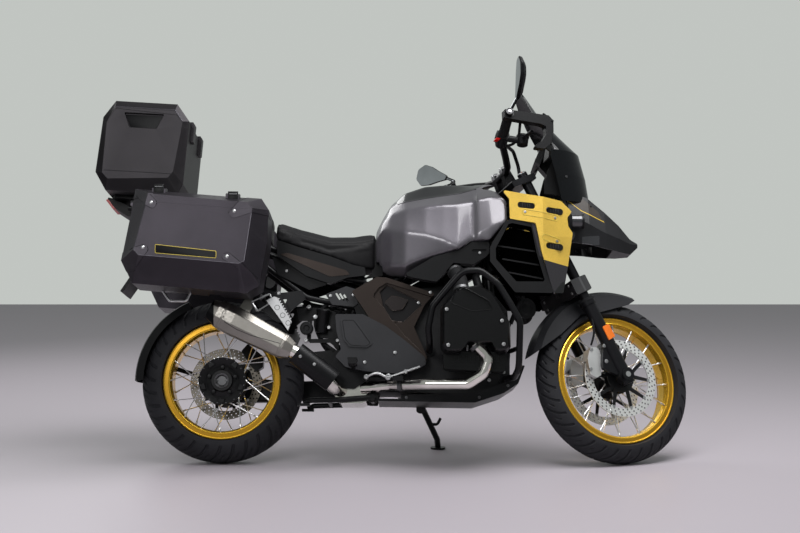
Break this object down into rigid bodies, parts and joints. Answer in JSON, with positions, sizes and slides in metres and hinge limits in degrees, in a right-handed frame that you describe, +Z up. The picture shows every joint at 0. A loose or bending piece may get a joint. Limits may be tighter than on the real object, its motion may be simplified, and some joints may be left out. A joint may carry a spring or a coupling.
{
  "type": "adventure touring motorcycle with aluminium cases",
  "caption": "Adventure touring motorcycle with a flat twin engine, spoked wheels, a beak, hand guards, a tall screen, a top case and side cases, parked on its side stand.",
  "frame": {"origin": "floor under the middle of the bounding box", "axes": "+X forward, +Y to the rider's left, +Z up; the machine is parked, so it leans to +Y"},
  "size_m": [2.3323, 1.0284, 1.5767],
  "materials": {
    "aluminium": "satin",
    "black_plastic": "satin",
    "case": "satin",
    "disc": "brushed",
    "engine": "satin",
    "frame": "satin",
    "gold_rim": "satin",
    "grey_plastic": "satin",
    "hub": "satin",
    "lamp": "gloss",
    "screen": "gloss",
    "seat": "matte",
    "steel": "brushed",
    "tank": "gloss",
    "tyre": "rubber",
    "yellow": "gloss"
  },
  "bodies": {
    "chassis": {"air_ducts": "black_plastic", "cylinders": "engine", "engine_block": "engine", "engine_guards": "frame", "exhaust": "steel", "foot_controls": "frame", "frame_arms": "frame", "fuel_tank": "tank", "instruments": "black_plastic", "lamps": "lamp", "main_frame": "frame", "nose": "grey_plastic", "panniers": "case", "passenger_seat": "seat", "rear_frame": "frame", "rear_mudguard": "black_plastic", "rider_seat": "seat", "side_covers": "grey_plastic", "side_panels": "yellow", "silencer": "steel", "skid_plate": "frame", "suspension": "frame", "swing_arm": "aluminium", "tail_unit": "black_plastic", "top_case": "case", "windscreen": "screen"},
    "front_wheel": {"front_tyre": "tyre", "front_rim": "gold_rim", "front_hub": "hub", "front_discs": "disc"},
    "rear_wheel": {"rear_tyre": "tyre", "rear_rim": "gold_rim", "rear_hub": "hub", "rear_disc": "disc"},
    "steering_assembly": {"fork": "aluminium", "front_calipers": "aluminium", "front_mudguard": "black_plastic", "handguards": "black_plastic", "handlebar": "frame", "mirrors": "black_plastic"},
    "side_stand": {"side_stand": "frame"},
    "centre_stand": {"centre_stand": "frame"},
    "top_case_lid": {"top_case_lid": "case"},
    "pannier_lid_left": {"pannier_lid_left": "case"},
    "pannier_lid_right": {"pannier_lid_right": "case"}
  },
  "joints": [
    {"name": "rear_wheel_spin", "type": "hinge", "parent": "chassis", "child": "rear_wheel", "pos_m": [-0.67349, -0.12222, 0.31281], "axis": [0, 0.9781, -0.2079], "continuous": true},
    {"name": "steering", "type": "hinge", "parent": "chassis", "child": "steering_assembly", "pos_m": [0.97757, -0.19017, -0.00686], "axis": [-0.4367, 0.187, 0.88], "range_deg": [-59, 13]},
    {"name": "front_wheel_spin", "type": "hinge", "parent": "steering_assembly", "child": "front_wheel", "pos_m": [0.85788, -0.10852, 0.30769], "axis": [-0.3515, 0.8649, -0.3583], "continuous": true},
    {"name": "side_stand", "type": "hinge", "parent": "chassis", "child": "side_stand", "pos_m": [0.1071, 0.03369, 0.19981], "axis": [0.039, 0.8118, 0.5827], "range_deg": [0, 106.1]},
    {"name": "centre_stand", "type": "hinge", "parent": "chassis", "child": "centre_stand", "pos_m": [-0.08387, -0.137, 0.24328], "axis": [0, -0.9781, 0.2079], "range_deg": [0, 85]},
    {"name": "top_case_lid", "type": "hinge", "parent": "chassis", "child": "top_case_lid", "pos_m": [-1.14966, 0.08334, 1.27989], "axis": [0, -0.9781, 0.2079], "range_deg": [0, 80]},
    {"name": "pannier_lid_left", "type": "hinge", "parent": "chassis", "child": "pannier_lid_left", "pos_m": [-0.98359, 0.3415, 0.85912], "axis": [0, -0.9781, 0.2079], "range_deg": [0, 75]},
    {"name": "pannier_lid_right", "type": "hinge", "parent": "chassis", "child": "pannier_lid_right", "pos_m": [-0.98359, -0.32364, 1.0005], "axis": [0, -0.9781, 0.2079], "range_deg": [0, 75]}
  ]
}
